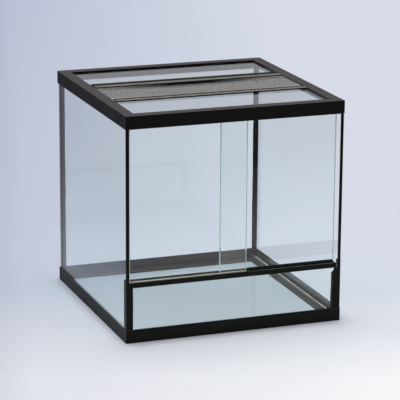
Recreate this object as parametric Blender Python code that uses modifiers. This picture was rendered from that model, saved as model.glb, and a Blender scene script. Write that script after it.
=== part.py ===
"""Front-opening glass terrarium: a glazed cube in moulded rims, with two sliding doors and a mesh vent.

Metres, +Z up, doors facing -Y. The origin is on the ground under the middle of the box.
"""
from math import pi

import bmesh
import bpy
from mathutils import Vector

# Whole cabinet, over the moulded rims
CABINET_WIDTH = 0.400
CABINET_DEPTH = 0.400
CABINET_HEIGHT = 0.400

# Glass, and the gap that bonded or resting pieces keep
GLASS = 0.004
GROUND_EDGE = 0.0004
PENCIL_EDGE = 0.0017
PENCIL_STEPS = 3
SEAT_GAP = 0.0003

# Moulded rims, the same section above and below
RIM_WALL = 0.0017
RIM_FLANGE = 0.0205
RIM_LIP = 0.0024
RIM_CORNER = 0.0008
TOP_SKIRT = 0.0232
BASE_SKIRT = 0.0242

# Fixed pane under the doors, with the angle posts over its corners
WINDOW_TOP = 0.0986
POST_LEG = 0.0123
POST_WALL = 0.0010
POST_TOP = 0.1116

# Angle strips over the front edges of the side panes
STRIP_FRONT_LEG = 0.0055
STRIP_SIDE_LEG = 0.0026
STRIP_WALL = 0.0008

# Two-channel tracks above and below the doors
TRACK_WALL = 0.0016
TRACK_WEB = 0.0036
TRACK_END_GAP = 0.0029
PANE_SLOT_DEPTH = 0.0037
LOWER_CHANNEL_DEPTH = 0.0016
REAR_WALL_RISE = 0.0024

# Doors
DOOR_PLAY = 0.0007
DOOR_OVERLAP = 0.0478
DOOR_TOP_HOLD = 0.0080
LEFT_DOOR_END_GAP = 0.0005
RIGHT_DOOR_END_GAP = 0.0037

# Vent in the top: two rails with mesh clamped between them and the glass
FRONT_RAIL_START = 0.1197
FRONT_RAIL_WIDTH = 0.0184
VENT_OPENING = 0.0986
REAR_RAIL_WIDTH = 0.0304
RAIL_LIP = 0.0100
RAIL_GROOVE_START = 0.0100
RAIL_GROOVE_WIDTH = 0.0014
RAIL_GROOVE_DEPTH = 0.0006
RAIL_LEFT_GAP = 0.0025
MESH_BEARING = 0.0070
MESH_THICKNESS = 0.0008
MESH_WIRE = 0.0016
MESH_COLUMNS = 28
MESH_ROWS = 9

# Silicone
REAR_BEAD_LEG = 0.0074
FRONT_LEFT_BEAD_LEG = 0.0080
FRONT_RIGHT_BEAD_LEG = 0.0107
FLOOR_BEAD_LEG = 0.0050
BEAD_HOLLOW = 0.0007
BEAD_STEPS = 4
BEAD_END_SLOPE = 0.9

# Faces of the glass box, measured from its middle
pane_x = CABINET_WIDTH / 2 - RIM_WALL - SEAT_GAP
pane_y = CABINET_DEPTH / 2 - RIM_WALL - SEAT_GAP
inside_x = pane_x - GLASS
inside_y = pane_y - GLASS
seat_x = inside_x - SEAT_GAP
seat_y = inside_y - SEAT_GAP
strip_inner_x = pane_x + SEAT_GAP + STRIP_WALL - STRIP_FRONT_LEG

# Heights, from the ground up
pane_bottom = RIM_WALL + SEAT_GAP
floor_top = RIM_LIP + SEAT_GAP + GLASS
bead_bottom = floor_top + SEAT_GAP
corner_bead_bottom = bead_bottom + FLOOR_BEAD_LEG + SEAT_GAP
slot_roof = WINDOW_TOP + PANE_SLOT_DEPTH
channel_floor = slot_roof + TRACK_WEB
channel_lip = channel_floor + LOWER_CHANNEL_DEPTH
door_bottom = channel_floor + SEAT_GAP
skirt_bottom = CABINET_HEIGHT - TOP_SKIRT
channel_mouth = skirt_bottom + SEAT_GAP
door_top = channel_mouth + DOOR_TOP_HOLD
roof_top = CABINET_HEIGHT - RIM_LIP - SEAT_GAP
roof_bottom = roof_top - GLASS
pane_top = roof_bottom - SEAT_GAP
mesh_bottom = roof_top + SEAT_GAP
mesh_top = mesh_bottom + MESH_THICKNESS

# Channel walls, front to back, the same for both tracks
channel_width = GLASS + 2 * DOOR_PLAY
front_channel = -pane_y + TRACK_WALL
centre_wall = front_channel + channel_width
rear_channel = centre_wall + TRACK_WALL
rear_wall = rear_channel + channel_width
track_back = rear_wall + TRACK_WALL

# Vent, front to back
front_rail = -CABINET_DEPTH / 2 + FRONT_RAIL_START
vent_start = front_rail + FRONT_RAIL_WIDTH
vent_end = vent_start + VENT_OPENING
mesh_start = vent_start - RAIL_LIP + SEAT_GAP
mesh_end = vent_end + RAIL_LIP - SEAT_GAP
opening_x = CABINET_WIDTH / 2 - RIM_FLANGE


def clear_scene():
    for thing in list(bpy.data.objects):
        bpy.data.objects.remove(thing, do_unlink=True)


def new_collection(name):
    collection = bpy.data.collections.new(name)
    bpy.context.scene.collection.children.link(collection)
    return collection


def material(name, colour, roughness, metallic=0.0, transmission=0.0):
    made = bpy.data.materials.new(name)
    made.use_nodes = True
    shader = made.node_tree.nodes["Principled BSDF"]
    shader.inputs["Base Color"].default_value = (*colour, 1.0)
    shader.inputs["Roughness"].default_value = roughness
    shader.inputs["Metallic"].default_value = metallic
    shader.inputs["Transmission Weight"].default_value = transmission
    return made


def place(name, data, finish, location=(0, 0, 0), rotation=(0, 0, 0)):
    """Put a mesh or a curve in the part's collection as one named piece."""
    data.name = name
    data.materials.append(finish)
    piece = bpy.data.objects.new(name, data)
    piece.location = location
    piece.rotation_euler = rotation
    parts.objects.link(piece)
    return piece


def add_bevel(piece, width, segments):
    bevel = piece.modifiers.new("Edges", "BEVEL")
    bevel.width = width
    bevel.segments = segments
    bevel.limit_method = "ANGLE"
    bevel.angle_limit = pi / 3


def mesh_from(shape):
    mesh = bpy.data.meshes.new("shape")
    shape.to_mesh(mesh)
    shape.free()
    return mesh


def block(name, low, high, finish):
    """A rectangular piece between two opposite corners, with its origin in its middle."""
    low = Vector(low)
    high = Vector(high)
    shape = bmesh.new()
    bmesh.ops.create_cube(shape, size=1)
    bmesh.ops.scale(shape, vec=high - low, verts=shape.verts)
    return place(name, mesh_from(shape), finish, (low + high) / 2)


def pane(name, low, high):
    """Float glass with its arrises taken off."""
    add_bevel(block(name, low, high, glass), GROUND_EDGE, 1)


def door(name, low, high):
    """Float glass with its edges ground round like a pencil, as fingers meet them."""
    add_bevel(block(name, low, high, glass), PENCIL_EDGE, PENCIL_STEPS)


def outline_curve(points, length):
    """A flat outline, filled and given its length along its own Z."""
    curve = bpy.data.curves.new("outline", "CURVE")
    curve.dimensions = "2D"
    curve.fill_mode = "BOTH"
    curve.extrude = length / 2
    spline = curve.splines.new("POLY")
    spline.points.add(len(points) - 1)
    for point, (u, v) in zip(spline.points, points):
        point.co = (u, v, 0, 1)
    spline.use_cyclic_u = True
    return curve


def lengthwise(name, section, left, right, finish):
    """A section in Y and Z, run along the cabinet's width."""
    middle = ((left + right) / 2, 0, 0)
    return place(name, outline_curve(section, right - left), finish, middle, (pi / 2, 0, pi / 2))


def upright(name, section, bottom, top, finish):
    """A section in X and Y, run up the cabinet's height."""
    return place(name, outline_curve(section, top - bottom), finish, (0, 0, (bottom + top) / 2))


def inset(shape, face, width):
    """Draw a face's edges in by a width; the ring round it is left as new faces."""
    bmesh.ops.inset_region(
        shape, faces=[face], thickness=width, use_boundary=True, use_even_offset=True
    )


def drawn_out(shape, face, height):
    """Extrude one face straight up, or down for a negative height, and give back the moved face."""
    moved = bmesh.ops.extrude_discrete_faces(shape, faces=[face])["faces"][0]
    bmesh.ops.translate(shape, vec=(0, 0, height), verts=moved.verts)
    return moved


def rim(name, skirt, height, upside_down):
    """One moulded rim: a skirt outside, a flange turned in, and a lip turned back beside the glass."""
    shape = bmesh.new()
    bmesh.ops.create_cube(shape, size=1)
    bmesh.ops.scale(shape, vec=(CABINET_WIDTH, CABINET_DEPTH, skirt), verts=shape.verts)
    bmesh.ops.translate(shape, vec=(0, 0, -skirt / 2), verts=shape.verts)
    opening = max(shape.faces, key=lambda face: face.calc_center_median().z)
    underside = min(shape.faces, key=lambda face: face.calc_center_median().z)
    inset(shape, opening, RIM_FLANGE)
    inset(shape, underside, RIM_WALL)
    ceiling = drawn_out(shape, underside, skirt - RIM_WALL)
    inset(shape, ceiling, RIM_FLANGE - 2 * RIM_WALL)
    lip = drawn_out(shape, ceiling, RIM_WALL - RIM_LIP)
    inset(shape, lip, RIM_WALL)
    edges = list(opening.edges) + list(lip.edges)
    bmesh.ops.delete(shape, geom=[opening, lip], context="FACES_ONLY")
    bmesh.ops.bridge_loops(shape, edges=edges)
    turn = pi if upside_down else 0
    piece = place(name, mesh_from(shape), black_plastic, (0, 0, height), (turn, 0, 0))
    add_bevel(piece, RIM_CORNER, 2)


def make_rims():
    rim("base_frame", BASE_SKIRT, 0, True)
    rim("top_frame", TOP_SKIRT, CABINET_HEIGHT, False)


def make_fixed_glass():
    pane("floor_glass", (-seat_x, -seat_y, RIM_LIP + SEAT_GAP), (seat_x, seat_y, floor_top))
    pane("left_side_glass", (-pane_x, -pane_y, pane_bottom), (-inside_x, pane_y, pane_top))
    pane("right_side_glass", (inside_x, -pane_y, pane_bottom), (pane_x, pane_y, pane_top))
    pane("back_glass", (-seat_x, inside_y, pane_bottom), (seat_x, pane_y, pane_top))
    low_top = slot_roof - SEAT_GAP
    pane("front_lower_glass", (-seat_x, -pane_y, pane_bottom), (seat_x, -inside_y, low_top))


def make_roof_glass():
    """The two fixed strips of the roof lie on the side panes and run in under the rails."""
    front_edge = mesh_start + MESH_BEARING
    rear_edge = mesh_end - MESH_BEARING
    pane("top_front_glass", (-pane_x, -pane_y, roof_bottom), (pane_x, front_edge, roof_top))
    pane("top_rear_glass", (-pane_x, rear_edge, roof_bottom), (pane_x, pane_y, roof_top))


def make_posts():
    """Angle posts on the base rim wrap the low pane's corners, and go on up beside the track's ends."""
    outer_x = pane_x + SEAT_GAP + POST_WALL
    outer_y = pane_y + SEAT_GAP + POST_WALL
    notch = outer_x - strip_inner_x
    section = [
        (0, 0),
        (notch, 0),
        (POST_LEG, 0),
        (POST_LEG, POST_WALL),
        (notch, POST_WALL),
        (POST_WALL, POST_WALL),
        (POST_WALL, POST_LEG),
        (0, POST_LEG),
    ]
    count = len(section)
    tall = [0, 1, 4, 5, 6, 7]
    for name, side in (("left_corner_post", -1), ("right_corner_post", 1)):
        shape = bmesh.new()
        rings = []
        for height in (BASE_SKIRT + SEAT_GAP, WINDOW_TOP - SEAT_GAP, POST_TOP):
            ring = [(side * (outer_x - inward), back - outer_y, height) for inward, back in section]
            rings.append([shape.verts.new(point) for point in ring])
        foot, shoulder, head = rings
        for here in range(count):
            after = (here + 1) % count
            shape.faces.new((foot[here], foot[after], shoulder[after], shoulder[here]))
        for number, here in enumerate(tall):
            after = tall[(number + 1) % len(tall)]
            shape.faces.new((shoulder[here], shoulder[after], head[after], head[here]))
        shape.faces.new(foot)
        shape.faces.new(shoulder[1:5])
        shape.faces.new([head[corner] for corner in tall])
        for corner in (2, 3):
            shape.verts.remove(head[corner])
        bmesh.ops.recalc_face_normals(shape, faces=shape.faces)
        place(name, mesh_from(shape), black_plastic)


def make_edge_strips():
    """Narrow angles close the side panes' front edges between the posts and the top rim."""
    outer_x = pane_x + SEAT_GAP + STRIP_WALL
    outer_y = pane_y + SEAT_GAP + STRIP_WALL
    for name, side in (("left_edge_strip", -1), ("right_edge_strip", 1)):
        section = [
            (side * outer_x, -outer_y),
            (side * strip_inner_x, -outer_y),
            (side * strip_inner_x, -outer_y + STRIP_WALL),
            (side * (outer_x - STRIP_WALL), -outer_y + STRIP_WALL),
            (side * (outer_x - STRIP_WALL), -outer_y + STRIP_SIDE_LEG),
            (side * outer_x, -outer_y + STRIP_SIDE_LEG),
        ]
        upright(name, section, POST_TOP + SEAT_GAP, skirt_bottom - SEAT_GAP, black_plastic)


def make_lower_track():
    """It sits over the low pane's top edge: a slot below, two shallow door channels above."""
    nose = -pane_y - SEAT_GAP - POST_WALL
    slot_front = -pane_y - SEAT_GAP
    slot_back = -inside_y + SEAT_GAP
    keeper = slot_back + TRACK_WALL
    rear_lip = channel_lip + REAR_WALL_RISE
    section = [
        (nose, WINDOW_TOP),
        (slot_front, WINDOW_TOP),
        (slot_front, slot_roof),
        (slot_back, slot_roof),
        (slot_back, WINDOW_TOP),
        (keeper, WINDOW_TOP),
        (keeper, slot_roof),
        (track_back, slot_roof),
        (track_back, rear_lip),
        (rear_wall, rear_lip),
        (rear_wall, channel_floor),
        (rear_channel, channel_floor),
        (rear_channel, channel_lip),
        (centre_wall, channel_lip),
        (centre_wall, channel_floor),
        (front_channel, channel_floor),
        (front_channel, channel_lip),
        (nose, channel_lip),
    ]
    left = -strip_inner_x + SEAT_GAP
    lengthwise("lower_door_track", section, left, inside_x - TRACK_END_GAP, black_plastic)


def make_upper_track():
    """Deep channels under the roof glass, behind the skirt, so a door can be lifted out."""
    channel_roof = pane_top - TRACK_WALL
    section = [
        (-pane_y, pane_top),
        (track_back, pane_top),
        (track_back, channel_mouth),
        (rear_wall, channel_mouth),
        (rear_wall, channel_roof),
        (rear_channel, channel_roof),
        (rear_channel, channel_mouth),
        (centre_wall, channel_mouth),
        (centre_wall, channel_roof),
        (front_channel, channel_roof),
        (front_channel, channel_mouth),
        (-pane_y, channel_mouth),
    ]
    lengthwise("upper_door_track", section, -seat_x, seat_x, black_plastic)


def make_doors():
    """Two equal panes: the left one in the front channel, the right one behind it."""
    opening = 2 * inside_x - LEFT_DOOR_END_GAP - RIGHT_DOOR_END_GAP
    width = (opening + DOOR_OVERLAP) / 2
    left = -inside_x + LEFT_DOOR_END_GAP
    right = inside_x - RIGHT_DOOR_END_GAP
    front = front_channel + DOOR_PLAY
    rear = rear_channel + DOOR_PLAY
    door("left_door_glass", (left, front, door_bottom), (left + width, front + GLASS, door_top))
    door("right_door_glass", (right - width, rear, door_bottom), (right, rear + GLASS, door_top))


def make_rails():
    """Each rail stands on its glass strip and reaches over the edge of the mesh, with one groove on top."""
    lip_bottom = mesh_top + SEAT_GAP
    groove_floor = CABINET_HEIGHT - RAIL_GROOVE_DEPTH
    for name, start, width, inward in (
        ("vent_front_rail", front_rail, FRONT_RAIL_WIDTH, 1),
        ("vent_rear_rail", vent_end + REAR_RAIL_WIDTH, REAR_RAIL_WIDTH, -1),
    ):
        foot = start + inward * (width - RAIL_LIP)
        edge = start + inward * width
        groove = start + inward * RAIL_GROOVE_START
        groove_end = groove + inward * RAIL_GROOVE_WIDTH
        section = [
            (start, mesh_bottom),
            (foot, mesh_bottom),
            (foot, lip_bottom),
            (edge, lip_bottom),
            (edge, CABINET_HEIGHT),
            (groove_end, CABINET_HEIGHT),
            (groove_end, groove_floor),
            (groove, groove_floor),
            (groove, CABINET_HEIGHT),
            (start, CABINET_HEIGHT),
        ]
        left = -opening_x + RAIL_LEFT_GAP
        lengthwise(name, section, left, opening_x - SEAT_GAP, black_plastic)


def make_vent_mesh():
    """One sheet of square mesh: a grid with every cell opened, then given its thickness."""
    half_x = opening_x - SEAT_GAP
    depth = mesh_end - mesh_start
    shape = bmesh.new()
    bmesh.ops.create_grid(shape, x_segments=MESH_COLUMNS, y_segments=MESH_ROWS, size=0.5)
    bmesh.ops.scale(shape, vec=(2 * half_x, depth, 1), verts=shape.verts)
    cells = list(shape.faces)
    bmesh.ops.inset_individual(shape, faces=cells, thickness=MESH_WIRE / 2, use_even_offset=True)
    bmesh.ops.delete(shape, geom=cells, context="FACES_ONLY")
    middle = (mesh_start + mesh_end) / 2
    sheet = place("vent_mesh", mesh_from(shape), mesh_metal, (0, middle, mesh_bottom))
    wire = sheet.modifiers.new("Wire", "SOLIDIFY")
    wire.thickness = MESH_THICKNESS
    wire.offset = 1


def bead_section(leg, corner_x, corner_y, side_x, side_y):
    """A fillet in an inside corner, with its face drawn in hollow by the finger that smooths it."""
    points = [(corner_x, corner_y)]
    for step in range(BEAD_STEPS + 1):
        t = step / BEAD_STEPS
        drawn = BEAD_HOLLOW * 4 * t * (1 - t)
        along = leg * (1 - t) - drawn
        across = leg * t - drawn
        points.append((corner_x + side_x * along, corner_y + side_y * across))
    return points


def make_rear_beads():
    for name, side in (("back_left_bead", -1), ("back_right_bead", 1)):
        section = bead_section(REAR_BEAD_LEG, side * seat_x, seat_y, -side, -1)
        upright(name, section, corner_bead_bottom, pane_top, black_silicone)


def make_front_beads():
    """The low pane's beads end under the track, wiped off at a slant towards the middle."""
    top = WINDOW_TOP - SEAT_GAP
    for name, side, leg in (
        ("front_left_bead", -1, FRONT_LEFT_BEAD_LEG),
        ("front_right_bead", 1, FRONT_RIGHT_BEAD_LEG),
    ):
        section = bead_section(leg, side * seat_x, -seat_y, -side, 1)
        run = upright("run", section, corner_bead_bottom, top, black_silicone)
        bpy.context.view_layer.update()
        seen = run.evaluated_get(bpy.context.evaluated_depsgraph_get())
        mesh = bpy.data.meshes.new_from_object(seen)
        shape = bmesh.new()
        shape.from_mesh(mesh)
        bmesh.ops.remove_doubles(shape, verts=shape.verts, dist=0.000001)
        end = Vector((side * seat_x, -seat_y, (top - corner_bead_bottom) / 2))
        slant = Vector((-side * BEAD_END_SLOPE, 0, 1)).normalized()
        cut = bmesh.ops.bisect_plane(
            shape,
            geom=list(shape.verts) + list(shape.edges) + list(shape.faces),
            plane_co=end,
            plane_no=slant,
            clear_outer=True,
        )
        rims = [item for item in cut["geom_cut"] if isinstance(item, bmesh.types.BMEdge)]
        bmesh.ops.contextual_create(shape, geom=rims)
        bmesh.ops.recalc_face_normals(shape, faces=shape.faces)
        shape.to_mesh(mesh)
        shape.free()
        bead = bpy.data.objects.new(name, mesh)
        bead.matrix_world = run.matrix_world
        mesh.name = name
        parts.objects.link(bead)
        bpy.data.objects.remove(run, do_unlink=True)


def make_floor_bead():
    """One fillet all round the floor: a flat ring, its outer edge turned up, the slope bridged."""
    shape = bmesh.new()
    bmesh.ops.create_grid(shape, x_segments=1, y_segments=1, size=0.5)
    bmesh.ops.scale(shape, vec=(2 * seat_x, 2 * seat_y, 1), verts=shape.verts)
    centre = list(shape.faces)[0]
    inset(shape, centre, FLOOR_BEAD_LEG)
    inner = list(centre.edges)
    bmesh.ops.delete(shape, geom=[centre], context="FACES_ONLY")
    outer = [edge for edge in shape.edges if edge.is_boundary and edge not in inner]
    turned = bmesh.ops.extrude_edge_only(shape, edges=outer)
    raised = [item for item in turned["geom"] if isinstance(item, bmesh.types.BMVert)]
    upper = [item for item in turned["geom"] if isinstance(item, bmesh.types.BMEdge)]
    upper = [edge for edge in upper if all(vert in raised for vert in edge.verts)]
    bmesh.ops.translate(shape, vec=(0, 0, FLOOR_BEAD_LEG), verts=raised)
    bmesh.ops.bridge_loops(shape, edges=inner + upper)
    bmesh.ops.recalc_face_normals(shape, faces=shape.faces)
    place("floor_bead", mesh_from(shape), black_silicone, (0, 0, bead_bottom))


clear_scene()
parts = new_collection("terrarium")
black_plastic = material("black_plastic", (0.012, 0.011, 0.011), 0.42)
black_silicone = material("black_silicone", (0.010, 0.010, 0.012), 0.30)
glass = material("glass", (0.86, 0.94, 0.92), 0.02, transmission=1.0)
mesh_metal = material("mesh_metal", (0.16, 0.15, 0.14), 0.45, metallic=0.8)

make_rims()
make_fixed_glass()
make_roof_glass()
make_posts()
make_edge_strips()
make_lower_track()
make_upper_track()
make_doors()
make_rails()
make_vent_mesh()
make_rear_beads()
make_front_beads()
make_floor_bead()
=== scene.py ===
import math

import bmesh
import bpy
import numpy as np
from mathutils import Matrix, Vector


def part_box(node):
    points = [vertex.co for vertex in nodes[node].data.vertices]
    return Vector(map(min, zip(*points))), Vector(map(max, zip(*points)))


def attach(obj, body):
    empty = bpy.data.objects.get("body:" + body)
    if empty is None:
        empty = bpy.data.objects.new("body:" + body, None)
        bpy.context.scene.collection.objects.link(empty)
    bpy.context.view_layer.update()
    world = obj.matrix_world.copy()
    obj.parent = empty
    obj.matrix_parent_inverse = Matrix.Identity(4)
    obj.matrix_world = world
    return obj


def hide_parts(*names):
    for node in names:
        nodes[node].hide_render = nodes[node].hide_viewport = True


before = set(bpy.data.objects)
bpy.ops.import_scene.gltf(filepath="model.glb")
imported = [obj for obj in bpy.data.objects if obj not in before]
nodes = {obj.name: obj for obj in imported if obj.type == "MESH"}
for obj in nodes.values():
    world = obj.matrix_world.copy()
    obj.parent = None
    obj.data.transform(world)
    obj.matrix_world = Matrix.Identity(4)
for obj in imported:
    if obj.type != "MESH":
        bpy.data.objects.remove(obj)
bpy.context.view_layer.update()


# ---- Moulded rims ----
# The base and top rims are injection mouldings in black polystyrene, with a spark-eroded satin
# face, pushed over the glass on a line of silicone. Their arrises are rubbed a little shiny and
# painted lighter as a highlight, and their tops carry dust and a painted sheen of grazing light.
MOULDED_BLACK = (0.006, 0.006, 0.0056, 1)
MOULDED_DRIFT = (0.009, 0.0085, 0.008, 1)
DUST_AND_TOP_SHEEN = (0.078, 0.070, 0.069, 1)
RUBBED_AND_HIGHLIT_GREY = (0.060, 0.057, 0.055, 1)
FINE_RELIEF = 0.00003


class Signal:
    """An output of a shader node. Sums written on it add Math nodes, and node() adds the rest."""

    def __init__(self, tree, socket=None):
        self.tree = tree
        self.socket = socket

    def node(self, kind, settings, inputs, output=0):
        """Add a node: its settings are set first, then the values or links of its sockets."""
        made = self.tree.nodes.new(kind)
        for name, value in settings.items():
            setattr(made, name, value)
        for name, value in inputs.items():
            if isinstance(value, Signal):
                self.tree.links.new(value.socket, made.inputs[name])
            else:
                made.inputs[name].default_value = value
        return Signal(self.tree, made.outputs[output])

    def maths(self, operation, *values):
        return self.node("ShaderNodeMath", {"operation": operation}, dict(enumerate(values)))

    def __add__(self, other):
        return self.maths("ADD", self, other)

    def __sub__(self, other):
        return self.maths("SUBTRACT", self, other)

    def __mul__(self, other):
        return self.maths("MULTIPLY", self, other)

    __radd__ = __add__
    __rmul__ = __mul__

    def __rsub__(self, other):
        return self.maths("SUBTRACT", other, self)

    def __abs__(self):
        return self.maths("ABSOLUTE", self)

    def larger(self, other):
        return self.maths("MAXIMUM", self, other)

    def ramped(self, low, high, start=0.0, end=1.0):
        """The value carried from one range to another, held at its ends."""
        spans = {"Value": self, "From Min": low, "From Max": high, "To Min": start, "To Max": end}
        return self.node("ShaderNodeMapRange", {}, spans)

    def coloured(self, first, second):
        """The mix of two colours that this value sets."""
        return self.node("ShaderNodeMix", {"data_type": "RGBA"}, {0: self, 6: first, 7: second}, 2)

    def part(self, axis):
        """One of the three numbers of a place or a direction."""
        return self.node("ShaderNodeSeparateXYZ", {}, {0: self}, axis)


def new_finish(name):
    """An empty material and the start of its shader tree."""
    made = bpy.data.materials.new(name)
    made.use_nodes = True
    made.node_tree.nodes.clear()
    return made, Signal(made.node_tree)


def surface(start, sockets):
    return start.node("ShaderNodeBsdfPrincipled", {}, sockets)


def show(shader):
    """Join a finished shader to its material's output."""
    end = shader.tree.nodes.new("ShaderNodeOutputMaterial")
    shader.tree.links.new(shader.socket, end.inputs["Surface"])


def place_on_piece(start):
    return start.node("ShaderNodeTexCoord", {}, {}, "Object")


def cloud(start, place, scale, detail=3.0):
    return start.node("ShaderNodeTexNoise", {}, {"Vector": place, "Scale": scale, "Detail": detail})


def bumped(start, height, distance, strength):
    sizes = {"Height": height, "Distance": distance, "Strength": strength}
    return start.node("ShaderNodeBump", {}, sizes)


def facing(start, axis):
    """How squarely the surface faces along one axis, from -1 to 1."""
    return start.node("ShaderNodeNewGeometry", {}, {}, "Normal").part(axis)


def upward(start):
    """1 on faces that look straight up, where dust settles and tops are painted lighter as sheen,
    and 0 on walls.
    """
    return facing(start, "Z").ramped(0.3, 1.0)


def arris(start):
    """1 on the rounded corners between flat faces, 0 on the flats."""
    squarest = abs(facing(start, "X")).larger(abs(facing(start, "Y")))
    return squarest.larger(abs(facing(start, "Z"))).ramped(0.995, 0.90)


def dress(finish, *names):
    for name in names:
        nodes[name].data.materials.clear()
        nodes[name].data.materials.append(finish)


moulded, start = new_finish("moulded_black")
place = place_on_piece(start)
spark_grain = cloud(start, place, 2600.0, 2.0)
drift = cloud(start, place, 34.0, 4.0)
# Top faces are painted lighter: patchy dust, and an even painted sheen where light grazes them.
dust_and_sheen = upward(start) * cloud(start, place, 160.0, 5.0).ramped(0.35, 0.75)
# Rounded arrises are painted lighter as a highlight, and worn a little smoother.
worn_and_highlit = arris(start) * cloud(start, place, 90.0).ramped(0.3, 0.7)
plain = drift.coloured(MOULDED_BLACK, MOULDED_DRIFT)
with_dust_and_sheen = ((0.45 + dust_and_sheen * 0.55) * upward(start)).coloured(plain, DUST_AND_TOP_SHEEN)
show(surface(start, {
    "Base Color": (worn_and_highlit * 0.7).coloured(with_dust_and_sheen, RUBBED_AND_HIGHLIT_GREY),
    "Roughness": 0.46 + drift * 0.14 + dust_and_sheen * 0.12 - worn_and_highlit * 0.10,
    "Specular IOR Level": 0.16,
    "Normal": bumped(start, spark_grain, FINE_RELIEF, 0.35),
}))
dress(moulded, "base_frame", "top_frame")


# ---- Glass panes ----
# Every pane is 4 mm float glass, faintly green, cut to size and ground frosted on its edges. The
# fixed panes' edges are blackened by sealant, and the doors' stay pale. The left door's foot and
# left edge are painted cream as a glow of light carried in the glass, and the right door's foot
# is painted dark as shade in its track.
GLASS_GREEN = (0.968, 0.990, 0.986, 1)
HANDLED_GREEN = (0.950, 0.976, 0.970, 1)
AQUA = (0.66, 0.92, 0.89, 1)
DEEP_AQUA = (0.50, 0.78, 0.75, 1)
PAINTED_GLOW_CREAM = (1.0, 0.96, 0.87, 1)
SEALED = (0.030, 0.035, 0.034, 1)
SEALANT_AND_SHADE_BLACK = (0.012, 0.012, 0.010, 1)
CLEAR_WAY = (0.95, 0.98, 0.97, 1)
SHADED_WAY = (0.75, 0.79, 0.80, 1)
FULL_MIRROR = 1.5
SOFT_MIRROR = 1.4
FAINT_MIRROR = 1.3
DOOR_FOOT_BAND = 0.0022
DOOR_LEFT_BAND = 0.0020
BAND_BLUR = 0.0002


def glass_finish(name, thin_axis, index, lamp_way=CLEAR_WAY, door=None, foot=AQUA, left=AQUA):
    """Clear faces that mirror more with a higher index, frosted edges, and a tint for the lamps'
    way through. A door's foot and left edge have colours of their own: cream is a painted glow of
    light carried in the glass, and a dark foot is painted shade from the track. Its foot shows on
    the faces beside it too, and so does a left edge in cream."""
    finish, start = new_finish(name)
    place = place_on_piece(start)
    film = cloud(start, place, 9.0, 5.0).ramped(0.42, 0.85)
    clear = surface(start, {
        "Base Color": (film * 0.4).coloured(GLASS_GREEN, HANDLED_GREEN),
        "Roughness": 0.0,
        "IOR": index,
        "Transmission Weight": 1.0,
    })
    pits = cloud(start, place, 2400.0)
    edge = abs(facing(start, thin_axis)).ramped(0.98, 0.90)
    frosted = pits.coloured(DEEP_AQUA, AQUA) if door else pits.coloured(SEALANT_AND_SHADE_BLACK, SEALED)
    if door:
        low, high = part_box(door)
        foot_line = low.z + DOOR_FOOT_BAND
        left_line = low.x + DOOR_LEFT_BAND
        at_foot = place.part("Z").ramped(foot_line + BAND_BLUR, foot_line - BAND_BLUR)
        at_left = place.part("X").ramped(left_line + BAND_BLUR, left_line - BAND_BLUR)
        edge = edge.larger(at_foot)
        if left == PAINTED_GLOW_CREAM:
            edge = edge.larger(at_left)
        frosted = at_foot.coloured(at_left.coloured(frosted, left), foot)
    ground = surface(start, {
        "Base Color": frosted,
        "Roughness": 0.5,
        "IOR": FULL_MIRROR,
        "Transmission Weight": 0.0 if door else 0.3,
        "Normal": bumped(start, pits, FINE_RELIEF, 0.5),
    })
    solid = start.node("ShaderNodeMixShader", {}, {0: edge, 1: clear, 2: ground})
    lamp_ray = start.node("ShaderNodeLightPath", {}, {}, "Is Shadow Ray")
    open_way = start.node("ShaderNodeBsdfTransparent", {}, {"Color": lamp_way})
    show(start.node("ShaderNodeMixShader", {}, {0: lamp_ray, 1: solid, 2: open_way}))
    return finish


dress(glass_finish("glass_floor", "Z", FULL_MIRROR, SHADED_WAY), "floor_glass")
dress(glass_finish("glass_roof", "Z", FULL_MIRROR), "top_front_glass", "top_rear_glass")
dress(glass_finish("glass_side", "X", FAINT_MIRROR), "left_side_glass", "right_side_glass")
dress(glass_finish("glass_back", "Y", FAINT_MIRROR), "back_glass")
dress(glass_finish("glass_front", "Y", SOFT_MIRROR), "front_lower_glass")
# The left door's cream foot and left edge are a painted glow of light carried in the glass.
left_door = glass_finish("glass_left_door", "Y", SOFT_MIRROR, door="left_door_glass",
                         foot=PAINTED_GLOW_CREAM, left=PAINTED_GLOW_CREAM)
# The right door's foot is painted dark, as shade in its track; the fixed panes' edges take the same
# black as sealant.
right_door = glass_finish("glass_right_door", "Y", SOFT_MIRROR, door="right_door_glass",
                          foot=SEALANT_AND_SHADE_BLACK)
dress(left_door, "left_door_glass")
dress(right_door, "right_door_glass")


# ---- Extruded trims ----
# The posts, edge strips, door tracks and vent rails are cut from black PVC extrusions, whose
# die leaves fine lines along their length and a closer, glossier face than the mouldings. Their
# tops carry dust and a painted sheen, and a track's lip top is a painted highlight.
TRIM_BLACK = (0.006, 0.006, 0.005, 1)
UPRIGHT_DUST_AND_SHEEN = (0.022, 0.022, 0.020, 1)
TRACK_LIP_DUST_AND_HIGHLIGHT = (0.125, 0.122, 0.100, 1)
TRACK_SHADE = (0.010, 0.010, 0.009, 1)
FRONT_RAIL_DUST_AND_SHEEN = (0.290, 0.282, 0.230, 1)
REAR_RAIL_DUST_AND_SHEEN = (0.230, 0.223, 0.180, 1)
RAIL_SHADE = (0.012, 0.012, 0.011, 1)
SATIN = 0.12
DULL = 0.02
LINES_ACROSS = 1800.0
LINES_ALONG = 12.0
TRACK_LIP = 0.0026
SHADE_BLUR = 0.001


def stretched(start, scale):
    """The place on the piece with each axis scaled, for grain that runs one way."""
    return start.node("ShaderNodeMapping", {}, {"Vector": place_on_piece(start), "Scale": scale})


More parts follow.
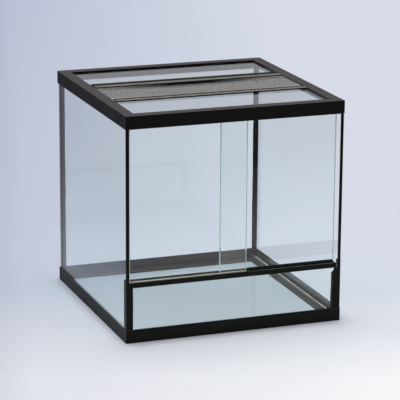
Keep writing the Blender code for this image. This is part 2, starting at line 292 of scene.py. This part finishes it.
def extruded_finish(name, along, dust_and_sheen, shine, shade=None):
    """Die-drawn PVC, with dust and a painted sheen on top. A shade is a line in Y, and the top
    behind it painted darker as shade.
    """
    finish, start = new_finish(name)
    scale = [LINES_ACROSS] * 3
    scale["XYZ".index(along)] = LINES_ALONG
    die_lines = cloud(start, stretched(start, scale), 1.0, 2.0)
    drift = cloud(start, place_on_piece(start), 40.0, 4.0)
    # Top faces are painted lighter: partly dust, partly a painted sheen of light grazing them.
    film = upward(start) * 0.6 + upward(start) * drift.ramped(0.35, 0.75) * 0.4
    if shade:
        line, darker = shade
        behind = place_on_piece(start).part("Y").ramped(line - SHADE_BLUR, line + SHADE_BLUR)
        dust_and_sheen = behind.coloured(dust_and_sheen, darker)
    show(surface(start, {
        "Base Color": film.coloured(TRIM_BLACK, dust_and_sheen),
        "Roughness": 0.30 + drift * 0.12 + die_lines * 0.08,
        "Specular IOR Level": shine,
        "Normal": bumped(start, die_lines, FINE_RELIEF, 0.5),
    }))
    return finish


dress(extruded_finish("extruded_upright", "Z", UPRIGHT_DUST_AND_SHEEN, SATIN),
      "left_corner_post", "right_corner_post", "left_edge_strip", "right_edge_strip")
# The track's front lip top is painted light as a highlight, with some dust, and its channel behind
# is painted shade.
track_shade = (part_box("lower_door_track")[0].y + TRACK_LIP, TRACK_SHADE)
dress(extruded_finish("extruded_track", "X", TRACK_LIP_DUST_AND_HIGHLIGHT, SATIN, track_shade),
      "lower_door_track", "upper_door_track")
# The rails' front tops carry dust and a painted sheen, and their rear tops are painted shade.
rails = (("vent_front_rail", 0.60, FRONT_RAIL_DUST_AND_SHEEN), ("vent_rear_rail", 0.47, REAR_RAIL_DUST_AND_SHEEN))
for rail, share, dust_and_sheen in rails:
    low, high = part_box(rail)
    rail_shade = (low.y + (high.y - low.y) * share, RAIL_SHADE)
    dress(extruded_finish("extruded_" + rail, "X", dust_and_sheen, DULL, rail_shade), rail)


# ---- Vent mesh ----
# Plain-woven aluminium wire cloth, its edges clamped under the rails. It hangs a few
# millimetres, most near the rear rail, as cloth that was only pressed in by hand does. The wires
# are painted lighter near the front rail as a highlight, and dark near the rear rail as its shadow.
WIRE_RADIUS = 0.00026
WIRE_CORNERS = 3
WIRE_PITCH = 0.0018
WEAVE_RISE = 0.00013
MESH_SAG = 0.0036
SAG_PEAK = 1.25
FRONT_HIGHLIGHT = (0.018, 0.008)
REAR_SHADOW = (0.024, 0.012)
SHADOW_ENDS = (0.14, 0.04)
TARNISHED_WIRE = (0.33, 0.318, 0.308, 1)
BARE_WIRE = (0.66, 0.64, 0.62, 1)
HIGHLIT_WIRE = (0.86, 0.84, 0.82, 1)
SHADED_WIRE = (0.012, 0.012, 0.010, 1)


def woven_cloth(low, high, opening):
    """Wires both ways, over and under each other, with the cloth's hang between the rails."""
    middle = (low + high) / 2
    span = high - low
    columns = round(span.x / WIRE_PITCH)
    rows = round(span.y / WIRE_PITCH)
    x = np.linspace(low.x + WIRE_RADIUS, high.x - WIRE_RADIUS, columns)
    y = np.linspace(low.y + WIRE_RADIUS, high.y - WIRE_RADIUS, rows)
    across, along = np.meshgrid(x, y)
    slack = (1 - ((across - middle.x) / span.x * 2) ** 2) ** 0.6
    free = np.clip((along - opening[0]) / (opening[1] - opening[0]), 0, 1)
    sag = SAG_PEAK * (1 - (1 - free) ** 2) * (1 - free ** 6)
    hang = middle.z - MESH_SAG * slack * sag
    over = np.where(np.add.outer(np.arange(rows), np.arange(columns)) % 2 == 0, 1.0, -1.0)
    turns = [math.radians(90 + 360 / WIRE_CORNERS * corner) for corner in range(WIRE_CORNERS)]
    up = np.array([0, 0, 1])
    verts, faces = [], []
    count = 0
    for crossing, side in ((1.0, np.array([0, 1, 0])), (-1.0, np.array([1, 0, 0]))):
        grid = np.stack([across, along, hang + crossing * over * WEAVE_RISE], axis=-1)
        if crossing < 0:
            grid = grid.transpose(1, 0, 2)
        offsets = [(side * math.cos(turn) + up * math.sin(turn)) * WIRE_RADIUS for turn in turns]
        tubes = np.stack([grid + offset for offset in offsets], axis=2)
        verts.append(tubes.reshape(-1, 3))
        numbers = count + np.arange(tubes[..., 0].size).reshape(tubes.shape[:3])
        count += numbers.size
        here, there = numbers[:, :-1], numbers[:, 1:]
        for corner in range(WIRE_CORNERS):
            after = (corner + 1) % WIRE_CORNERS
            quads = (here[..., corner], there[..., corner], there[..., after], here[..., after])
            faces.append(np.stack(quads, axis=-1).reshape(-1, 4))
    mesh = bpy.data.meshes.new("woven_vent")
    mesh.from_pydata(np.concatenate(verts).tolist(), [], np.concatenate(faces).tolist())
    mesh.update()
    return mesh


opening = (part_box("vent_front_rail")[1].y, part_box("vent_rear_rail")[0].y)
wire_finish, start = new_finish("woven_wire")
place = place_on_piece(start)
tarnish = cloud(start, place, 220.0, 5.0)
wrinkle = cloud(start, stretched(start, (420.0, 90.0, 0.0)), 1.0, 2.0).ramped(0.35, 0.65)
wire = (tarnish * 0.3 + wrinkle * 0.7).coloured(TARNISHED_WIRE, BARE_WIRE)
# Near the front rail the wires are painted lighter as a highlight; near the rear rail, most in the
# middle, they are painted dark as the rail's shadow.
highlight_at_front = place.part("Y").ramped(*[opening[0] + reach for reach in FRONT_HIGHLIGHT])
at_rear = place.part("Y").ramped(*[opening[1] - reach for reach in REAR_SHADOW])
at_middle = abs(place.part("X")).ramped(*SHADOW_ENDS, 0.2, 1.0)
wire = highlight_at_front.coloured(wire, HIGHLIT_WIRE)
show(surface(start, {
    "Base Color": (at_rear * at_middle).coloured(wire, SHADED_WIRE),
    "Metallic": 0.25,
    "Roughness": 0.45 + tarnish * 0.15,
    "Specular IOR Level": DULL,
    "Normal": bumped(start, tarnish, 0.00002, 0.4),
}))
woven_vent = bpy.data.objects.new("woven_vent", woven_cloth(*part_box("vent_mesh"), opening))
bpy.context.scene.collection.objects.link(woven_vent)
woven_vent.data.materials.append(wire_finish)
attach(woven_vent, "cabinet")
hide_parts("vent_mesh")


# ---- Silicone ----
# Black sealant gunned into the inside corners and drawn hollow with a wet finger, so each bead is
# glossy, a little uneven along its length, and wetted onto the glass with no gap.
BOND = 0.00034
HOLLOW = 0.20
RING_POINTS = 9
GLINT_HEIGHT = 0.0016
GLINT_FADE = (0.0010, 0.0006)
REFLECTION_BAND = 0.0070
REFLECTION_BLUR = 0.0005
SEALANT_BLACK = (0.004, 0.004, 0.005, 1)
SEALANT_WAVE = (0.009, 0.009, 0.010, 1)
REFLECTED_GREY = (0.064, 0.080, 0.082, 1)
PAINTED_GLINT = (0.98, 0.95, 0.84, 1)


def bead_ring(corner, first, second, leg, swell):
    """One cross-section of a bead: the corner it fills, then its hollow face from wall to wall."""
    foot = corner - (first + second) * BOND
    ring = [foot]
    reach = leg * (1 + swell) + BOND
    for step in range(RING_POINTS):
        t = step / (RING_POINTS - 1)
        drawn = reach * HOLLOW * 4 * t * (1 - t)
        ring.append(foot + first * (reach * (1 - t) - drawn) + second * (reach * t - drawn))
    return ring


def uneven(along, phase):
    """How far the bead's width wanders from its nominal leg, as a share, at a distance along it."""
    slow = 0.025 * math.sin(along * 47.0 + phase) + 0.018 * math.sin(along * 131.0 + phase * 2.3)
    return slow + 0.012 * math.sin(along * 409.0 + phase * 4.1)


def swept(name, rings, closed):
    """A skin over the rings, with its ends closed, or joined into a loop."""
    count = len(rings[0])
    verts = [point for ring in rings for point in ring]
    faces = []
    for number in range(len(rings) - (0 if closed else 1)):
        here = number * count
        there = (number + 1) % len(rings) * count
        for corner in range(count):
            after = (corner + 1) % count
            faces.append((here + corner, here + after, there + after, there + corner))
    if not closed:
        faces.append(tuple(range(count))[::-1])
        faces.append(tuple(range(len(verts) - count, len(verts))))
    mesh = bpy.data.meshes.new(name)
    mesh.from_pydata(verts, [], faces)
    shape = bmesh.new()
    shape.from_mesh(mesh)
    bmesh.ops.recalc_face_normals(shape, faces=shape.faces)
    shape.to_mesh(mesh)
    shape.free()
    mesh.polygons.foreach_set("use_smooth", [True] * len(mesh.polygons))
    mesh.set_sharp_from_angle(angle=math.radians(40))
    return mesh


def add_bead(name, mesh, node, finish):
    mesh.materials.append(finish)
    bead = bpy.data.objects.new(name, mesh)
    bpy.context.scene.collection.objects.link(bead)
    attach(bead, "cabinet")
    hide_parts(node)


def sealant_finish(name, right_corner=None):
    """Wet-looking black. Beside a right corner, a painted grey reflection and a broken painted
    glint in cream.
    """
    finish, start = new_finish(name)
    place = place_on_piece(start)
    waves = cloud(start, place, 70.0)
    colour = waves.coloured(SEALANT_BLACK, SEALANT_WAVE)
    if right_corner:
        across = place.part("X")
        climb = (across - right_corner.x) + (place.part("Z") - right_corner.z)
        band = right_corner.x - REFLECTION_BAND
        beside = across.ramped(band - REFLECTION_BLUR, band + REFLECTION_BLUR)
        # The bead's lower part beside the right corner is painted grey as a reflection of the
        # bright floor.
        reflection = climb.ramped(GLINT_HEIGHT, GLINT_HEIGHT - REFLECTION_BLUR) * beside
        # A broken pale line along the bead is a painted glint.
        glint = abs(climb - GLINT_HEIGHT).ramped(*GLINT_FADE) * beside
        broken = cloud(start, stretched(start, (0.0, 1.0, 0.0)), 75.0, 4.0).ramped(0.36, 0.50)
        colour = reflection.coloured(colour, REFLECTED_GREY)
        colour = (glint * broken).coloured(colour, PAINTED_GLINT)
    show(surface(start, {
        "Base Color": colour,
        "Roughness": 0.12 + waves * 0.10,
        "Specular IOR Level": 0.18,
        "Normal": bumped(start, waves, 0.0004, 0.3),
    }))
    return finish


UPRIGHT_STEPS = 60
BACK_LEFT_SHARE = 1.10
END_SLOPE = 0.9
END_ROOM = 0.0105
silicone = sealant_finish("black_sealant")
uprights = {"back_left": (-1, 1), "back_right": (1, 1),
            "front_left": (-1, -1), "front_right": (1, -1)}
for name, (side, depth) in uprights.items():
    low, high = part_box(name + "_bead")
    leg = (high.y - low.y) * (BACK_LEFT_SHARE if name == "back_left" else 1.0)
    corner_x = high.x if side > 0 else low.x
    corner_y = high.y if depth > 0 else low.y
    rings = []
    for step in range(UPRIGHT_STEPS + 1):
        along = low.z + (high.z - low.z) * step / UPRIGHT_STEPS
        corner = Vector((corner_x, corner_y, along))
        swell = uneven(along, side * 1.7 + depth)
        rings.append(bead_ring(corner, Vector((-side, 0, 0)), Vector((0, -depth, 0)), leg, swell))
    if depth < 0:
        end = [Vector((p.x, p.y, p.z - END_SLOPE * abs(p.x - corner_x))) for p in rings.pop()]
        rings = [ring for ring in rings if ring[0].z < high.z - END_ROOM] + [end]
    add_bead(name + "_sealant", swept(name, rings, False), name + "_bead", silicone)

SIDE_STEPS = 70
SIDE_LENGTH = 0.39
low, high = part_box("floor_bead")
leg = high.z - low.z
corners = [(low.x, low.y), (high.x, low.y), (high.x, high.y), (low.x, high.y)]
rings = []
for number, (x, y) in enumerate(corners):
    next_x, next_y = corners[(number + 1) % 4]
    run = Vector((next_x - x, next_y - y, 0))
    inward = Vector((-run.y, run.x, 0)).normalized()
    before = Vector((x - corners[number - 1][0], y - corners[number - 1][1], 0))
    inward_before = Vector((-before.y, before.x, 0)).normalized()
    for step in range(SIDE_STEPS):
        corner = Vector((x, y, low.z)) + run * (step / SIDE_STEPS)
        mitre = inward + inward_before if step == 0 else inward
        swell = 0 if step == 0 else uneven((number + step / SIDE_STEPS) * SIDE_LENGTH, 0.4)
        rings.append(bead_ring(corner, mitre, Vector((0, 0, 1)), leg, swell))
# Along the right corner the floor bead carries a painted grey reflection and a broken painted
# glint.
floor_silicone = sealant_finish("floor_sealant", Vector((high.x, 0, low.z)))
add_bead("floor_sealant", swept("floor_sealant", rings, True), "floor_bead", floor_silicone)


# ---- Table, light and camera ----
# The box stands on a wide pale sheet in soft light from above and behind, seen from the left.
# The sheet is painted lit and dim by where that light falls, and painted dark as shade far to the
# left and far in front; the room in front is dark too, so the panes mirror little.
REACH = 14.0
BEHIND_LIT = (0.72, 0.755, 0.825, 1)
BEHIND_DIM = (0.465, 0.515, 0.63, 1)
BEFORE_LIT = (1.0, 0.99, 0.98, 1)
BEFORE_DIM = (0.65, 0.67, 0.745, 1)
FAR_LEFT_SHADE = (0.245, 0.245, 0.300, 1)
FAR_FRONT_SHADE = (0.05, 0.05, 0.055, 1)
ROOM_DARK = (0.10, 0.10, 0.115, 1)
ROOM_LIT = (0.64, 0.65, 0.71, 1)

floor_mesh = bpy.data.meshes.new("studio_floor")
corners = [(-REACH, -REACH, 0), (REACH, -REACH, 0), (REACH, REACH, 0), (-REACH, REACH, 0)]
floor_mesh.from_pydata(corners, [], [(0, 1, 2, 3)])
studio_floor = bpy.data.objects.new("studio_floor", floor_mesh)
bpy.context.scene.collection.objects.link(studio_floor)
sheet_finish, start = new_finish("pale_sheet")
place = place_on_piece(start)
across = place.part("X")
forward = place.part("Y")
fibres = cloud(start, place, 260.0, 4.0)
# The sheet's tones are painted lit and dim by where the light falls.
dimmed = (across - forward * 0.35).ramped(0.30, -0.65) * 0.8 + fibres * 0.4
behind = dimmed.coloured(BEHIND_LIT, BEHIND_DIM)
before = dimmed.coloured(BEFORE_LIT, BEFORE_DIM)
sheet = (forward + across * 0.36).ramped(0.05, -0.45).coloured(behind, before)
# Far to the left the sheet is painted dark as shade.
sheet = (across - forward * 0.265).ramped(-0.32, -0.75).coloured(sheet, FAR_LEFT_SHADE)
# Far in front the sheet is painted dark as shade, so the panes mirror little.
show(surface(start, {
    "Base Color": forward.ramped(-0.70, -1.30).coloured(sheet, FAR_FRONT_SHADE),
    "Roughness": 0.9,
    "Specular IOR Level": 0.1,
}))
floor_mesh.materials.append(sheet_finish)

world = bpy.data.worlds.new("studio")
world.use_nodes = True
bpy.context.scene.world = world
room_way = Signal(world.node_tree).node("ShaderNodeTexCoord", {}, {}, "Generated")
lit = room_way.part("Y").ramped(-0.2, 0.3) * room_way.part("Z").ramped(0.30, 0.14)
backing = world.node_tree.nodes["Background"]
world.node_tree.links.new(lit.coloured(ROOM_DARK, ROOM_LIT).socket, backing.inputs["Color"])
backing.inputs["Strength"].default_value = 1.0

sun = bpy.data.lights.new("soft_window", "SUN")
sun.energy = 2.9
sun.angle = math.radians(80)
window = bpy.data.objects.new("soft_window", sun)
window.rotation_euler = Vector((0.02, -0.22, -0.97)).to_track_quat("-Z", "Y").to_euler()
bpy.context.scene.collection.objects.link(window)

lens = bpy.data.cameras.new("camera")
lens.sensor_width = 36
lens.lens = 191.4
camera = bpy.data.objects.new("camera", lens)
camera.location = (-1.2836, -3.4885, 1.1927)
camera.rotation_euler = [math.radians(turn) for turn in (74.87, -0.381, -20.207)]
bpy.context.scene.collection.objects.link(camera)
bpy.context.scene.camera = camera
bpy.context.scene.view_settings.view_transform = "Standard"
